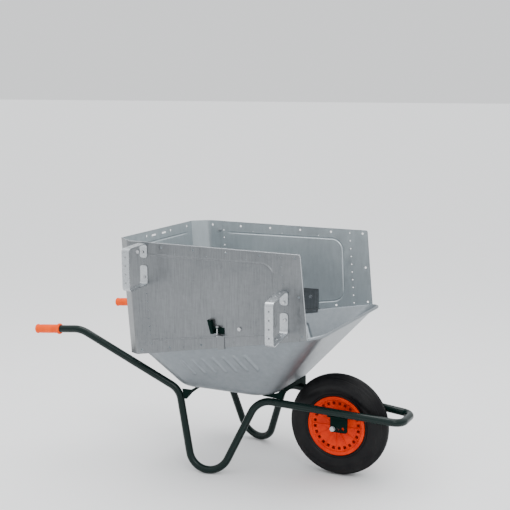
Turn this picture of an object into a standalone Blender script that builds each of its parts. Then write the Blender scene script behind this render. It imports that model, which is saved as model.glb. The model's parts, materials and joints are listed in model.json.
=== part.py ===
"""Garden wheelbarrow with a pressed-steel tray, bolt-on side extension and tool-holder hoops.

Design frame: +X towards the wheel, +Y to the user's left, +Z up. X = 0 is the wheel axle,
Y = 0 the centre plane and Z = 0 the ground. An empty at the top of the parenting tree then
moves everything so that the world origin is at the middle of the footprint, on the ground.
"""

import math

import bmesh
import bpy
from mathutils import Matrix, Vector

GAP = 0.0003  # clearance between touching pieces

# Wheel
WHEEL_RADIUS = 0.200
WHEEL_SEGMENTS = 32
BUSH_SEGMENTS = 16
RIM_FLANGE_RADIUS = 0.117
RIM_HALF_WIDTH = 0.037
BARREL_RADIUS = 0.101
DISC_FACE_Y = 0.030
DISC_THICKNESS = 0.004
WEB_HALF_THICKNESS = 0.002  # wall between the two discs, which closes the windows from behind
POCKET_INNER, POCKET_OUTER = 0.029, 0.097
WINDOW_COUNT = 24
WINDOW_INNER = 0.084
WINDOW_OUTER = 0.096
WINDOW_WIDTH = 0.012
VALVE_Y = 0.0105  # the valve leaves the rim beside its centre plane
VALVE_HOLE = 0.0045
HUB_BORE_RADIUS = 0.013
AXLE_RADIUS = 0.005
AXLE_HOLE = 0.0060
AXLE_CLEARANCE = 0.0004
RUNNING_CLEARANCE = 0.00006
BUSH_LENGTH = 0.020
BUSH_FLANGE = 0.002
PLATE_INNER_Y = 0.066
PLATE_THICKNESS = 0.004
WASHER_THICKNESS = 0.0025

# Frame tube, bent from one diameter of round tube
TUBE_RADIUS = 0.015
TUBE_WALL = 0.002
TUBE_SIDES = 10
GRIP_END = Vector((-1.209, 0.295, 0.519))
HANDLE_BEND = Vector((-0.994, 0.295, 0.539))
REAR_LEG_TOP = Vector((-0.604, 0.193, 0.312))
FOOT_VERTEX = Vector((-0.474, 0.269, -0.151))
FRONT_LEG_TOP = Vector((-0.291, 0.127, 0.2935))
BUMPER_CORNER = Vector((0.272, 0.067, 0.256))
GRIP_LENGTH = 0.118
GRIP_WALL_END = 0.004

# Tray
SHEET = 0.0012
FLOOR_Z = 0.322
FLOOR_REAR_X = -0.600
FLOOR_FRONT_X = -0.213
FLOOR_HALF_WIDTH = 0.188
FLOOR_REAR_CORNER = 0.050
FLOOR_FRONT_CORNER = 0.085
FLOOR_FILLET = 0.035
RIM_SLOPE = 0.1835  # rise of the tray's rim per metre forward
RIM_Z_AT_AXLE = 0.606
RIM_REAR_X = -0.735
RIM_FRONT_X = 0.052
RIM_REAR_CORNER = 0.110
RIM_FRONT_CORNER = 0.075
BEAD_RADIUS = 0.005
CORNER_STEPS = 6

# Side extension
PANEL_TOP_FRONT = (-0.0206, 0.914)
PANEL_TOP_REAR = (-0.746, 0.918)
PANEL_BOTTOM_REAR_X = -0.713
PANEL_BOTTOM_FRONT_X = 0.0085
PANEL_OVERLAP = 0.002  # the panel's lower edge lies this far below the bead's centre line
PANEL_Y = 0.324  # outer face at the lower rear corner
PANEL_SPREAD_X = 0.0166
PANEL_SPREAD_Z = 0.014
CHAMFER = Vector((-0.060, -0.054))
FOLD_SETBACK = 0.010
LARGE_HOLE = 0.0045
SMALL_HOLE = 0.0026
HOLE_PITCH = 0.138
SMALL_PITCH = 0.0321

# Tool-holder hoops: X, top Z at the panel, and how far the top arm falls on its way out
HOOPS = {"rear_hoop": (-0.6715, 0.912, 0.006), "front_hoop": (-0.0835, 0.783, 0.027)}
HOOP_WIDTH = 0.032
HOOP_SHEET = 0.003
HOOP_REACH = 0.125
HOOP_DROP = 0.159
HOOP_CORNER = 0.012
HOOP_FLANGE = 0.056
HOOP_LOWER_ARM = 0.157  # from the top to where the lower arm meets the panel
HOOP_TAB = 0.072
HOOP_HOLE = 0.0035

# Rim clamps
CLAMP_SHEET = 0.002
SCREW_X = -0.353
SCREW_REACH = 0.009  # how far the clamp screw stands off the panel
TAB_Z = 0.618
STRAP_TAB_Z = 0.590

# Fasteners, M8 and M6
M8 = {"shank": 0.004, "head": 0.0075, "height": 0.0053, "nut": 0.0065}
M6 = {"shank": 0.003, "head": 0.0058, "height": 0.0040, "nut": 0.0050}

BOLT_CLEARANCE = 0.0008
BOLT_SLACK = 0.0006
REAR_BOLT = Vector((-0.528, 0.110))  # plan position of the tray's bolts
FRONT_BOLT = Vector((-0.262, 0.102))
CORNER_BOLT = (-0.6955, 0.877)  # X and Z on a side panel
HOOK_BOLT = (-0.264, 0.620)

FRAME_ORIGIN = (0.4621, 0.0581, 0.0)  # where the design frame's origin lies in the world

BRACKET_SHEET = 0.003
FLANGE_Z = FLOOR_Z - SHEET / 2 - GAP - BRACKET_SHEET / 2


# ---------------------------------------------------------------- scene and materials


def clear_scene():
    for obj in list(bpy.data.objects):
        bpy.data.objects.remove(obj, do_unlink=True)


def make_material(name, colour, roughness, metallic):
    material = bpy.data.materials.new(name)
    material.use_nodes = True
    shader = material.node_tree.nodes["Principled BSDF"]
    shader.inputs["Base Color"].default_value = (*colour, 1.0)
    shader.inputs["Roughness"].default_value = roughness
    shader.inputs["Metallic"].default_value = metallic
    material.diffuse_color = (*colour, 1.0)
    return material


def make_empty(name, parent=None, location=(0, 0, 0)):
    empty = bpy.data.objects.new(name, None)
    empty.location = location
    empty.parent = parent
    bpy.context.scene.collection.objects.link(empty)
    return empty


def make_object(name, bm, material, parent, smooth=False):
    """Turn a bmesh into an object; closed meshes get their faces turned outward."""
    bmesh.ops.remove_doubles(bm, verts=bm.verts, dist=1e-6)
    bmesh.ops.recalc_face_normals(bm, faces=bm.faces)
    mesh = bpy.data.meshes.new(name)
    bm.to_mesh(mesh)
    bm.free()
    if smooth:
        mesh.shade_smooth()
        mesh.set_sharp_from_angle(angle=math.radians(35))
    mesh.materials.append(material)
    obj = bpy.data.objects.new(name, mesh)
    obj.parent = parent
    bpy.context.scene.collection.objects.link(obj)
    return obj


def place(obj, location, direction):
    """Put the object's local +Y axis along direction, with its origin at location."""
    obj.location = location
    obj.rotation_euler = Vector(direction).to_track_quat("Y", "Z").to_euler()


# ---------------------------------------------------------------- mesh building


def lathe(profile, segments):
    """Closed solid turned about +Y from a closed profile of (radius, height, kind).

    kind "hex" pulls the ring in to a hexagon's outline, for heads and nuts.
    """
    bm = bmesh.new()
    rings = []
    for radius, height, kind in profile:
        if radius == 0:
            rings.append([bm.verts.new((0, height, 0))] * segments)
            continue
        ring = []
        for step in range(segments):
            angle = 2 * math.pi * step / segments
            reach = radius
            if kind == "hex":
                off_corner = (angle + math.pi / 6) % (math.pi / 3) - math.pi / 6
                reach = radius * math.cos(math.pi / 6) / math.cos(math.pi / 6 - abs(off_corner))
            ring.append(bm.verts.new((reach * math.cos(angle), height, reach * math.sin(angle))))
        rings.append(ring)
    for low, high in zip(rings, rings[1:] + rings[:1]):
        for step in range(segments):
            after = (step + 1) % segments
            corners = [low[step], low[after], high[after], high[step]]
            distinct = list(dict.fromkeys(corners))
            if len(distinct) > 2:
                bm.faces.new(distinct)
    return bm


def round_profile(points):
    return [(radius, height, "round") for radius, height in points]


def bend_path(corners, radii, steps):
    """Points along straight runs joined by round bends of the given radii."""
    points = [corners[0]]
    for before, corner, after, radius, count in zip(
        corners, corners[1:], corners[2:], radii, steps
    ):
        back = (before - corner).normalized()
        ahead = (after - corner).normalized()
        half = back.angle(ahead) / 2
        centre = corner + (back + ahead).normalized() * radius / math.sin(half)
        start = corner + back * radius / math.tan(half)
        normal = back.cross(ahead).normalized()
        turn = math.pi - 2 * half
        for step in range(count + 1):
            spin = Matrix.Rotation(-turn * step / count, 3, normal)
            points.append(centre + spin @ (start - centre))
    points.append(corners[-1])
    return points


def sweep_tube(path, outer, inner, sides):
    """Hollow tube with open ends along a list of points."""
    bm = bmesh.new()
    tangents = []
    for index in range(len(path)):
        ahead = path[min(index + 1, len(path) - 1)] - path[index]
        behind = path[index] - path[max(index - 1, 0)]
        tangents.append((ahead.normalized() + behind.normalized()).normalized())
    side = tangents[0].cross(Vector((0, 0, 1))).normalized()
    rings = []
    for point, tangent in zip(path, tangents):
        side = (side - tangent * side.dot(tangent)).normalized()
        up = side.cross(tangent)
        pair = []
        for radius in (outer, inner):
            angles = [2 * math.pi * (step + 0.5) / sides for step in range(sides)]
            pair.append(
                [
                    bm.verts.new(point + (side * math.cos(a) + up * math.sin(a)) * radius)
                    for a in angles
                ]
            )
        rings.append(pair)
    for first, second in zip(rings, rings[1:]):
        for wall in (0, 1):
            bridge(bm, first[wall], second[wall])
    for outer_ring, inner_ring in (rings[0], rings[-1]):
        bridge(bm, outer_ring, inner_ring)
    return bm


def bridge(bm, first, second):
    for step in range(len(first)):
        after = (step + 1) % len(first)
        bm.faces.new((first[step], first[after], second[after], second[step]))


def add_facet(bm, outline, holes=()):
    """Fill one facet of folded sheet, bounded by outline and pierced by holes."""
    edges = []
    for loop in (outline, *holes):
        verts = [bm.verts.new(point) for point in loop]
        edges += [bm.edges.new(ends) for ends in zip(verts, verts[1:] + verts[:1])]
    bmesh.ops.triangle_fill(bm, use_beauty=True, use_dissolve=False, edges=edges)


def circle_points(centre, radius, sides, across, along):
    """Points of a hole in the plane of the unit vectors across and along."""
    angles = [2 * math.pi * (step + 0.5) / sides for step in range(sides)]
    return [centre + (across * math.cos(a) + along * math.sin(a)) * radius for a in angles]


def sheet_object(name, bm, thickness, material, parent):
    """Give a folded sheet's middle surface its thickness."""
    bmesh.ops.remove_doubles(bm, verts=bm.verts, dist=1e-5)
    obj = make_object(name, bm, material, parent)
    solidify = obj.modifiers.new("thickness", "SOLIDIFY")
    solidify.thickness = thickness
    solidify.offset = 0
    solidify.solidify_mode = "NON_MANIFOLD"
    solidify.nonmanifold_thickness_mode = "CONSTRAINTS"
    return obj


def mirrored(points, side):
    """Flip a list of points to the side given as +1 (left) or -1 (right)."""
    return [Vector((point[0], point[1] * side, point[2])) for point in points]


def bolt(name, size, grip, location, direction, material, parent, segments=6):
    """Hexagon bolt: its head's underside is at location and its shank runs along direction."""
    profile = [
        (0, -size["height"], "round"),
        (size["head"], -size["height"], "hex"),
        (size["head"], 0, "hex"),
        (size["shank"], 0, "round"),
        (size["shank"], grip, "round"),
        (0, grip, "round"),
    ]
    obj = make_object(name, lathe(profile, segments), material, parent)
    place(obj, location, direction)
    return obj


def nut(name, size, location, direction, material, parent, segments=6):
    """Hexagon nut: its near face is at location and it extends along direction."""
    bore = size["shank"] + GAP * 1.3
    profile = [
        (bore, 0, "round"),
        (size["head"], 0, "hex"),
        (size["head"], size["nut"], "hex"),
        (bore, size["nut"], "round"),
    ]
    obj = make_object(name, lathe(profile, segments), material, parent)
    place(obj, location, direction)
    return obj


# ---------------------------------------------------------------- wheel


def build_tyre(axis, material):
    half_outer = [(0.103, 0.021), (0.109, 0.0275), (0.118, 0.032), (0.138, 0.0445)]
    half_outer += [(0.162, 0.047), (0.184, 0.040), (0.196, 0.022), (WHEEL_RADIUS, 0.007)]
    half_inner = [(0.190, 0.018), (0.172, 0.038), (0.145, 0.040), (0.122, 0.030), (0.103, 0.015)]
    right = [(radius, -y) for radius, y in half_outer]
    left = [(radius, y) for radius, y in reversed(half_outer)]
    inside = [(radius, y) for radius, y in reversed(half_inner)]
    inside += [(radius, -y) for radius, y in half_inner]
    bm = lathe(round_profile(right + left + inside), WHEEL_SEGMENTS)
    make_object("tyre", bm, material, axis, smooth=True)


def build_inner_tube(axis, material):
    half = [(0.104, 0.011), (0.121, 0.025), (0.145, 0.037), (0.170, 0.035), (0.187, 0.016)]
    profile = [(radius, -y) for radius, y in half] + [(radius, y) for radius, y in reversed(half)]
    bm = lathe(round_profile(profile), WHEEL_SEGMENTS)
    make_object("inner_tube", bm, material, axis, smooth=True)


def build_rim(axis, material, cutter_material):
    """One-piece plastic wheel: hub, barrel, tyre flanges, a web and two discs with windows."""
    half = [
        (HUB_BORE_RADIUS, RIM_HALF_WIDTH),
        (0.024, RIM_HALF_WIDTH),
        (0.027, DISC_FACE_Y),
        (0.100, DISC_FACE_Y),
        (0.105, RIM_HALF_WIDTH),
        (RIM_FLANGE_RADIUS, RIM_HALF_WIDTH),
        (RIM_FLANGE_RADIUS, 0.032),
        (0.107, 0.028),
        (BARREL_RADIUS, 0.022),
    ]
    profile = [(radius, -y) for radius, y in half] + [(radius, y) for radius, y in reversed(half)]
    rim = make_object("rim", lathe(round_profile(profile), WHEEL_SEGMENTS), material, axis, True)
    inner_y = DISC_FACE_Y - DISC_THICKNESS

    def pocket(side):
        low, high = side * WEB_HALF_THICKNESS, side * inner_y
        ring = [(POCKET_INNER, low), (POCKET_INNER, high), (POCKET_OUTER, high), (POCKET_OUTER, low)]
        return lathe(round_profile(ring), WHEEL_SEGMENTS)

    cutters = {
        "left_pocket": pocket(1),
        "right_pocket": pocket(-1),
        "windows": window_blocks(),
        "valve_hole": lathe(round_profile([(0, 0), (VALVE_HOLE, 0), (VALVE_HOLE, 0.02), (0, 0.02)]), 8),
    }
    for label, bm in cutters.items():
        cutter = make_object(f"{label}_cutter", bm, cutter_material, axis)
        cutter.hide_render = True
        cutter.display_type = "WIRE"
        cut = rim.modifiers.new(label, "BOOLEAN")
        cut.object = cutter
        cut.operation = "DIFFERENCE"
        if label == "valve_hole":
            place(cutter, (0.0, VALVE_Y, 0.090), (0, 0, 1))


def window_blocks():
    """A ring of square blocks through each disc, the two rings half a pitch apart."""
    bm = bmesh.new()
    middle = (WINDOW_INNER + WINDOW_OUTER) / 2
    size = (WINDOW_OUTER - WINDOW_INNER, 3 * DISC_THICKNESS, WINDOW_WIDTH)
    disc_middle = DISC_FACE_Y - DISC_THICKNESS / 2
    for side, phase in ((1, 0.0), (-1, 0.5)):
        for index in range(WINDOW_COUNT):
            turn = Matrix.Rotation(2 * math.pi * (index + phase) / WINDOW_COUNT, 4, "Y")
            spot = Matrix.Translation((middle, side * disc_middle, 0))
            bmesh.ops.create_cube(bm, size=1, matrix=turn @ spot @ Matrix.Diagonal((*size, 1)))
    return bm


def build_valve(axis, rubber, cap_material):
    top = 0.1035
    bottom = 0.070
    stem = lathe(round_profile([(0, 0), (0.0035, 0), (0.0035, top - bottom), (0, top - bottom)]), 8)
    place(make_object("valve_stem", stem, rubber, axis, True), (0, VALVE_Y, bottom), (0, 0, 1))
    cap_height = 0.010
    bore = 0.0035 + GAP * 1.5
    profile = [(0, 0), (0.0055, 0), (0.0055, cap_height), (bore, cap_height), (bore, 0.002), (0, 0.002)]
    cap = make_object("valve_cap", lathe(round_profile(profile), 8), cap_material, axis, True)
    place(cap, (0, VALVE_Y, bottom - 0.002 - GAP), (0, 0, 1))


def build_bushes(axis, material):
    """Flanged plastic bushes pressed into the hub's two ends; they turn with the wheel."""
    bore = (AXLE_RADIUS + RUNNING_CLEARANCE) / math.cos(math.pi / BUSH_SEGMENTS)
    sleeve = HUB_BORE_RADIUS - GAP
    face = RIM_HALF_WIDTH + GAP
    outer = face + BUSH_FLANGE
    inner = RIM_HALF_WIDTH - BUSH_LENGTH
    for label, side in (("left", 1), ("right", -1)):
        profile = [(bore, inner), (sleeve, inner), (sleeve, face), (0.017, face)]
        profile += [(0.017, outer), (bore, outer)]
        bm = lathe(round_profile([(radius, y * side) for radius, y in profile]), BUSH_SEGMENTS)
        make_object(f"{label}_wheel_bush", bm, material, axis, True)


def build_axle(parent, steel, zinc):
    """Axle bolt through both brackets, with spacer sleeves, washers and one nut."""
    bore = AXLE_RADIUS + AXLE_CLEARANCE
    spacer_start = RIM_HALF_WIDTH + BUSH_FLANGE + 2 * GAP + AXLE_CLEARANCE
    washer_start = PLATE_INNER_Y + PLATE_THICKNESS + GAP
    head_start = washer_start + WASHER_THICKNESS + GAP
    for label, side in (("left", 1), ("right", -1)):
        rings = {
            "axle_spacer": (0.009, spacer_start, PLATE_INNER_Y - GAP),
            "axle_washer": (0.0105, washer_start, washer_start + WASHER_THICKNESS),
        }
        for part, (outer, start, end) in rings.items():
            profile = [(bore, start), (outer, start), (outer, end), (bore, end)]
            bm = lathe(round_profile([(radius, y * side) for radius, y in profile]), 12)
            obj = make_object(f"{label}_{part}", bm, zinc, parent, True)
            obj.location = (0, 0, WHEEL_RADIUS)
    size = {"shank": AXLE_RADIUS, "head": 0.0095, "height": 0.0064, "nut": 0.0084}
    grip = 2 * head_start + size["nut"] + 0.004
    start = (0, -head_start, WHEEL_RADIUS)
    bolt("axle_bolt", size, grip, start, (0, 1, 0), steel, parent, segments=12)
    nut("axle_nut", size, (0, head_start, WHEEL_RADIUS), (0, 1, 0), steel, parent, segments=12)


# ---------------------------------------------------------------- frame


def tube_point(x):
    """Centre (|y|, z) of the straight front run of the frame tube at x."""
    run = BUMPER_CORNER - FRONT_LEG_TOP
    share = (x - FRONT_LEG_TOP.x) / run.x
    return FRONT_LEG_TOP.y + run.y * share, FRONT_LEG_TOP.z + run.z * share


def build_frame_tubes(root, paint):
    """Handle, leg, fork arm and half the front bumper, bent from one tube on each side."""
    along = (HANDLE_BEND - GRIP_END).normalized()
    corners = [
        GRIP_END + along * (GRIP_WALL_END + GAP),
        HANDLE_BEND,
        REAR_LEG_TOP,
        FOOT_VERTEX,
        FRONT_LEG_TOP,
        BUMPER_CORNER,
        Vector((BUMPER_CORNER.x, GAP / 2, BUMPER_CORNER.z)),
    ]
    radii = (0.090, 0.080, 0.082, 0.081, 0.041)
    steps = (3, 4, 10, 5, 6)
    for label, side in (("left", 1), ("right", -1)):
        path = mirrored(bend_path(corners, radii, steps), side)
        bm = sweep_tube(path, TUBE_RADIUS, TUBE_RADIUS - TUBE_WALL, TUBE_SIDES)
        make_object(f"{label}_frame_tube", bm, paint, root, True)


def build_grips(root, plastic):
    """Closed-end sleeves with a rounded tip and a flange towards the user's thumb."""
    bore = (TUBE_RADIUS + GAP) / math.cos(math.pi / 16)
    body = 0.0176
    profile = [
        (0, 0), (0.016, 0), (0.019, 0.002), (0.019, 0.006), (body, 0.009), (body, 0.104),
        (0.021, 0.107), (0.022, 0.110), (0.022, 0.114), (0.018, GRIP_LENGTH),
        (bore, GRIP_LENGTH), (bore, GRIP_WALL_END), (0, GRIP_WALL_END),
    ]
    for label, side in (("left", 1), ("right", -1)):
        grip = make_object(f"{label}_grip", lathe(round_profile(profile), 16), plastic, root, True)
        start, bend = mirrored([GRIP_END, HANDLE_BEND], side)
        place(grip, start, bend - start)


def floor_hole(spot, side, z):
    """Outline of a tray bolt's hole in a level sheet."""
    centre = Vector((spot.x, spot.y * side, z))
    radius = M8["shank"] + BOLT_CLEARANCE
    return circle_points(centre, radius, 6, Vector((1, 0, 0)), Vector((0, 1, 0)))


def build_front_cross_member(root, paint):
    """Arched plate across the fork arms, with a gusset and a bolting tab over each arm."""
    web_x = -0.195
    rear_x = -0.275
    tab_front_x = -0.248
    tab_width = 0.026
    crown_y, centre_z = tube_point(web_x)
    foot_z = centre_z + TUBE_RADIUS + 2 * GAP
    rear_foot_z = tube_point(rear_x)[1] + TUBE_RADIUS + 2 * GAP
    top_z = 0.3405
    bm = bmesh.new()
    arch = [(1.0, foot_z), (0.93, foot_z), (0.80, 0.313), (0.62, 0.321), (0.30, 0.3235)]
    lower = [Vector((web_x, crown_y * share, z)) for share, z in arch]
    lower += [Vector((web_x, -point.y, point.z)) for point in reversed(lower)]
    upper = [Vector((web_x, -crown_y, top_z)), Vector((web_x, crown_y, top_z))]
    add_facet(bm, lower + upper)
    for side in (1, -1):
        slope = [(web_x, top_z), (-0.206, 0.330), (-0.222, 0.3235), (tab_front_x, FLANGE_Z)]
        slope += [(rear_x, FLANGE_Z), (rear_x, rear_foot_z), (web_x, foot_z)]
        add_facet(bm, mirrored([(x, crown_y, z) for x, z in slope], side))
        inner = crown_y - tab_width
        tab = [(tab_front_x, crown_y), (rear_x, crown_y), (rear_x, inner), (tab_front_x, inner)]
        hole = floor_hole(FRONT_BOLT, side, FLANGE_Z)
        add_facet(bm, mirrored([(x, y, FLANGE_Z) for x, y in tab], side), [hole])
    sheet_object("front_cross_member", bm, BRACKET_SHEET, paint, root)


def build_rear_cross_member(root, paint):
    """Sloping arched plate between the legs' tops, folded forward under the tray's floor."""
    top_x = -0.545
    lean = 0.63  # how far the plate runs back for each unit that it drops
    low_z = 0.280
    half = 0.200
    flange_half = 0.150
    flange_front_x = -0.512

    def on_web(y, z):
        return Vector((top_x - (FLANGE_Z - z) * lean, y, z))

    bm = bmesh.new()
    arch = [(half, low_z), (0.190, low_z), (0.172, 0.300), (0.140, 0.3065), (0.060, 0.3085)]
    lower = [on_web(y, z) for y, z in arch]
    lower += [on_web(-y, z) for y, z in reversed(arch)]
    upper = [on_web(y, FLANGE_Z) for y in (-half, -flange_half, flange_half, half)]
    add_facet(bm, lower + upper)
    flange = [(top_x, -flange_half), (top_x, flange_half)]
    flange += [(flange_front_x, flange_half), (flange_front_x, -flange_half)]
    holes = [floor_hole(REAR_BOLT, side, FLANGE_Z) for side in (1, -1)]
    add_facet(bm, [Vector((x, y, FLANGE_Z)) for x, y in flange], holes)
    for side in (1, -1):
        foot = on_web(half, low_z)
        gusset = [(top_x, FLANGE_Z), (foot.x, low_z), (-0.5775, low_z)]
        gusset += [(-0.582, 0.300), (-0.586, FLANGE_Z)]
        add_facet(bm, mirrored([(x, half, z) for x, z in gusset], side))
    sheet_object("rear_cross_member", bm, BRACKET_SHEET, paint, root)


def build_axle_brackets(root, paint):
    """Bent plates welded under the fork arms, each with three axle positions."""
    rear_x = -0.011
    front_x = 0.059
    corner = 0.006
    bottom_z = 0.187
    plate_y = PLATE_INNER_Y + PLATE_THICKNESS / 2
    drop = TUBE_RADIUS + PLATE_THICKNESS / 2 + GAP
    rear_y, rear_centre = tube_point(rear_x)
    front_y, front_centre = tube_point(front_x)
    overhang = 0.008
    holes_at = [(0, WHEEL_RADIUS), (0.021, 0.2015), (0.041, 0.2035)]
    for label, side in (("left", 1), ("right", -1)):
        bm = bmesh.new()
        fold = [(rear_x, plate_y, rear_centre - drop), (front_x, plate_y, front_centre - drop)]
        edge = [
            (front_x, front_y + overhang, front_centre - drop),
            (rear_x, rear_y + overhang, rear_centre - drop),
        ]
        lower = [
            (front_x, plate_y, bottom_z + corner), (front_x - corner, plate_y, bottom_z),
            (rear_x + corner, plate_y, bottom_z), (rear_x, plate_y, bottom_z + corner),
        ]
        centres = [Vector((x, plate_y * side, z)) for x, z in holes_at]
        holes = [
            circle_points(centre, AXLE_HOLE, 12, Vector((1, 0, 0)), Vector((0, 0, 1)))
            for centre in centres
        ]
        add_facet(bm, mirrored(fold + lower, side), holes)
        add_facet(bm, mirrored(fold + edge, side))
        sheet_object(f"{label}_axle_bracket", bm, PLATE_THICKNESS, paint, root)


# ---------------------------------------------------------------- tray


def rim_z(x):
    return RIM_Z_AT_AXLE + RIM_SLOPE * x


def rim_half_width(x):
    """Half width of the bead's centre line, just inside the side panels."""
    inner_face = panel_y(x, rim_z(x)) - SHEET - GAP
    return inner_face - BEAD_RADIUS - SHEET / 2 - GAP


def panel_y(x, z):
    """Outer face of a side panel, as a distance from the centre plane."""
    along = x - PANEL_BOTTOM_REAR_X
    up = z - panel_bottom(PANEL_BOTTOM_REAR_X)
    return PANEL_Y + PANEL_SPREAD_X * along + PANEL_SPREAD_Z * up


def panel_bottom(x):
    return rim_z(x) - PANEL_OVERLAP


def rounded_outline(rear_x, front_x, rear_half, front_half, rear_corner, front_corner):
    """Plan outline (x, y) and outward normal, anticlockwise from the right rear corner."""
    corners = [
        (rear_x + rear_corner, -(rear_half - rear_corner), rear_corner, math.pi),
        (front_x - front_corner, -(front_half - front_corner), front_corner, 1.5 * math.pi),
        (front_x - front_corner, front_half - front_corner, front_corner, 0),
        (rear_x + rear_corner, rear_half - rear_corner, rear_corner, 0.5 * math.pi),
    ]
    outline = []
    for x, y, radius, start in corners:
        for step in range(CORNER_STEPS + 1):
            angle = start + 0.5 * math.pi * step / CORNER_STEPS
            normal = Vector((math.cos(angle), math.sin(angle)))
            outline.append((Vector((x, y)) + normal * radius, normal))
    return outline


def bead_point(centre, normal, turn):
    """Point of the rolled bead; turn runs from its inner side over the top and round."""
    swing = math.radians(turn)
    outward = -math.cos(swing) * BEAD_RADIUS
    return Vector(
        (
            centre.x + normal.x * outward,
            centre.y + normal.y * outward,
            rim_z(centre.x) + math.sin(swing) * BEAD_RADIUS,
        )
    )


def build_tray(root, steel):
    """Pressed pan: flat floor, filleted sloping walls and a rolled bead round the rim."""
    rim = rounded_outline(
        RIM_REAR_X, RIM_FRONT_X,
        rim_half_width(RIM_REAR_X + RIM_REAR_CORNER), rim_half_width(RIM_FRONT_X - RIM_FRONT_CORNER),
        RIM_REAR_CORNER, RIM_FRONT_CORNER,
    )
    foot = rounded_outline(
        FLOOR_REAR_X, FLOOR_FRONT_X, FLOOR_HALF_WIDTH, FLOOR_HALF_WIDTH,
        FLOOR_REAR_CORNER, FLOOR_FRONT_CORNER,
    )
    inset = rounded_outline(
        FLOOR_REAR_X + FLOOR_FILLET, FLOOR_FRONT_X - FLOOR_FILLET,
        FLOOR_HALF_WIDTH - FLOOR_FILLET, FLOOR_HALF_WIDTH - FLOOR_FILLET,
        FLOOR_REAR_CORNER - FLOOR_FILLET / 2, FLOOR_FRONT_CORNER - FLOOR_FILLET / 2,
    )
    columns = []
    for (centre, normal), (corner, _), (start, _) in zip(rim, foot, inset):
        wall_top = bead_point(centre, normal, 30)
        bend = Vector((corner.x, corner.y, FLOOR_Z))
        on_floor = Vector((start.x, start.y, FLOOR_Z))
        on_wall = bend + (wall_top - bend).normalized() * FLOOR_FILLET
        column = [on_floor]
        for share in (0.33, 0.67, 1.0):
            column.append(on_floor.lerp(bend, share).lerp(bend.lerp(on_wall, share), share))
        column.append(wall_top)
        column += [bead_point(centre, normal, turn) for turn in (75, 120, 165, 210, 250)]
        columns.append(column)
    bm = bmesh.new()
    loops = [[bm.verts.new(point) for point in ring] for ring in zip(*columns)]
    for low, high in zip(loops, loops[1:]):
        bridge(bm, low, high)
    add_floor(bm, loops[0])
    sheet_object("tray", bm, SHEET, steel, root)


def add_floor(bm, ring):
    """Flat floor inside the first ring, with the four bolt holes."""
    edges = []
    for index, vert in enumerate(ring):
        edges.append(bm.edges.get((vert, ring[(index + 1) % len(ring)])))
    for spot in (REAR_BOLT, FRONT_BOLT):
        for side in (1, -1):
            verts = [bm.verts.new(point) for point in floor_hole(spot, side, FLOOR_Z)]
            edges += [bm.edges.new(ends) for ends in zip(verts, verts[1:] + verts[:1])]
    bmesh.ops.triangle_fill(bm, use_beauty=True, use_dissolve=False, edges=edges)


def build_tray_bolts(root, zinc):
    for label, spot in (("rear", REAR_BOLT), ("front", FRONT_BOLT)):
        for hand, side in (("left", 1), ("right", -1)):
            head = (spot.x, spot.y * side, FLOOR_Z + SHEET / 2 + GAP)
            under = (spot.x, spot.y * side, FLANGE_Z - BRACKET_SHEET / 2 - GAP)
            bolt(f"{label}_{hand}_tray_bolt", M8, 0.016, head, (0, 0, -1), zinc, root)
            nut(f"{label}_{hand}_tray_nut", M8, under, (0, 0, -1), zinc, root)


# ---------------------------------------------------------------- extension panels


def panel_middle(x, z, side, inward=0.0):
    """Point of a side panel's middle surface, or of a sheet lying inward of it."""
    return Vector((x, side * (panel_y(x, z) - SHEET / 2 - inward), z))


def large_holes():
    """Centres (x, z) of the large holes round a side panel's edge."""
    upper = [(-0.0416 - HOLE_PITCH * index, 0.899) for index in range(5)] + [(-0.7285, 0.899)]
    lower = [-0.013 - HOLE_PITCH * index for index in range(5)] + [-0.690]
    return upper + [(x, panel_bottom(x) + 0.0165) for x in lower] + [(-0.0255, 0.760)]


def small_hole_columns():
    """Centres (x, z) of the small holes in the front and the rear column."""
    front = [(-0.097 + 0.0027 * index, 0.898 - SMALL_PITCH * index) for index in range(10)]
    rear = [(-0.675 + 0.0024 * index, 0.878 - SMALL_PITCH * index) for index in range(12)]
    return front, rear


def fold_columns(side, inward=0.0):
    """Top and bottom points along the panel's rear fold: start, middle, end, and rear corner."""
    columns = []
    for fold_x, z in ((PANEL_TOP_REAR[0], PANEL_TOP_REAR[1]), (PANEL_BOTTOM_REAR_X, None)):
        def level(x):
            return z if z is not None else panel_bottom(x)

        fold = Vector((fold_x, panel_y(fold_x, level(fold_x)) - SHEET / 2))
        start_x = fold_x + FOLD_SETBACK
        before = Vector((start_x, panel_y(start_x, level(fold_x)) - SHEET / 2))
        rear = fold + CHAMFER
        after = fold + CHAMFER.normalized() * FOLD_SETBACK
        middle = (before + 2 * fold + after) / 4
        shift_side = Vector((0, -inward))
        slant = Vector((CHAMFER.y, -CHAMFER.x)).normalized()
        shift_slant = slant * inward if slant.y < 0 else -slant * inward
        shift_middle = (shift_side + shift_slant).normalized() * inward
        plan = [
            before + shift_side, middle + shift_middle, after + shift_slant, rear + shift_slant,
        ]
        columns.append([Vector((p.x, p.y * side, level(p.x))) for p in plan])
    return columns


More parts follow.
